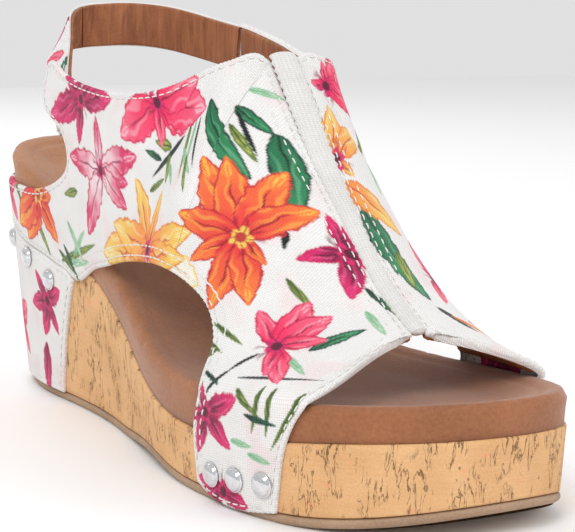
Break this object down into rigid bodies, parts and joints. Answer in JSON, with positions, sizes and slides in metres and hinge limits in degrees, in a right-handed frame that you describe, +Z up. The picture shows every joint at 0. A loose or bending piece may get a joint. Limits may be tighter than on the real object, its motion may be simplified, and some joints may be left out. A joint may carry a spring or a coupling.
{
  "type": "wedge sandal",
  "caption": "Right-foot slip-in wedge sandal: closed canvas vamp with centre seam, cut-out arches, peep toe, cork-wrapped wedge sole and a heel strap that fastens inside the outer quarter.",
  "frame": {"origin": "on the ground under the middle of the whole sandal's box", "axes": "+Z up, -Y towards the toe, -X towards the outer (lateral) side of the foot, +X towards the inner (medial) side"},
  "size_m": [0.0984, 0.2631, 0.138],
  "materials": {
    "canvas": "printed cotton canvas: off-white ground with a painterly tropical flower print in pink, orange, yellow and green",
    "heel_canvas": "the same printed canvas, in large soft pink and rose patches",
    "piping": "plain off-white canvas over soft cord, with slanting gathers",
    "lining": "soft brown lining leather, matt, with fine wrinkles",
    "footbed": "brown nubuck leather with a soft pressed contour line inside the edge",
    "cork": "natural agglomerated cork, honey brown, with dark slanting fissures, matt",
    "rubber": "taupe brown moulded rubber, matt, with a fine tread",
    "foam": "pale latex foam, never seen",
    "board": "pressed fibre board, never seen",
    "wood": "light pressed-cork and wood-flour block, never seen",
    "steel": "bare spring steel strip, never seen",
    "chrome": "polished chromed nail head",
    "hook": "pale grey hook-and-loop tape, fuzzy and matt"
  },
  "bodies": {
    "sandal": {"back_seam_tape": "canvas", "cork_wrap": "cork", "footbed_cover": "footbed", "footbed_foam": "foam", "heel_wrap": "heel_canvas", "insole_board": "board", "lateral_heel_stud_1": "chrome", "lateral_heel_stud_2": "chrome", "lateral_heel_stud_3": "chrome", "lateral_lining": "lining", "lateral_upper": "canvas", "lateral_vamp_stud_1": "chrome", "lateral_vamp_stud_2": "chrome", "lateral_vamp_stud_3": "chrome", "loop_patch": "hook", "medial_heel_stud_1": "chrome", "medial_heel_stud_2": "chrome", "medial_heel_stud_3": "chrome", "medial_lining": "lining", "medial_upper": "canvas", "medial_vamp_stud_1": "chrome", "medial_vamp_stud_2": "chrome", "medial_vamp_stud_3": "chrome", "outsole": "rubber", "seam_piping": "piping", "shank": "steel", "wedge_core": "wood"},
    "strap": {"strap_canvas": "canvas", "strap_lining": "lining"},
    "strap_end": {"strap_end_canvas": "canvas", "strap_end_lining": "lining", "hook_patch": "hook"}
  },
  "joints": [
    {"name": "strap_swing", "type": "hinge", "parent": "sandal", "child": "strap", "pos_m": [0.03621, 0.06505, 0.12305], "axis": [0, 0, -1], "range_deg": [0, 110]},
    {"name": "strap_end_peel", "type": "hinge", "parent": "strap", "child": "strap_end", "pos_m": [-0.01767, 0.09438, 0.12101], "axis": [0.1841, -0.7256, 0.663], "range_deg": [0, 90]}
  ]
}
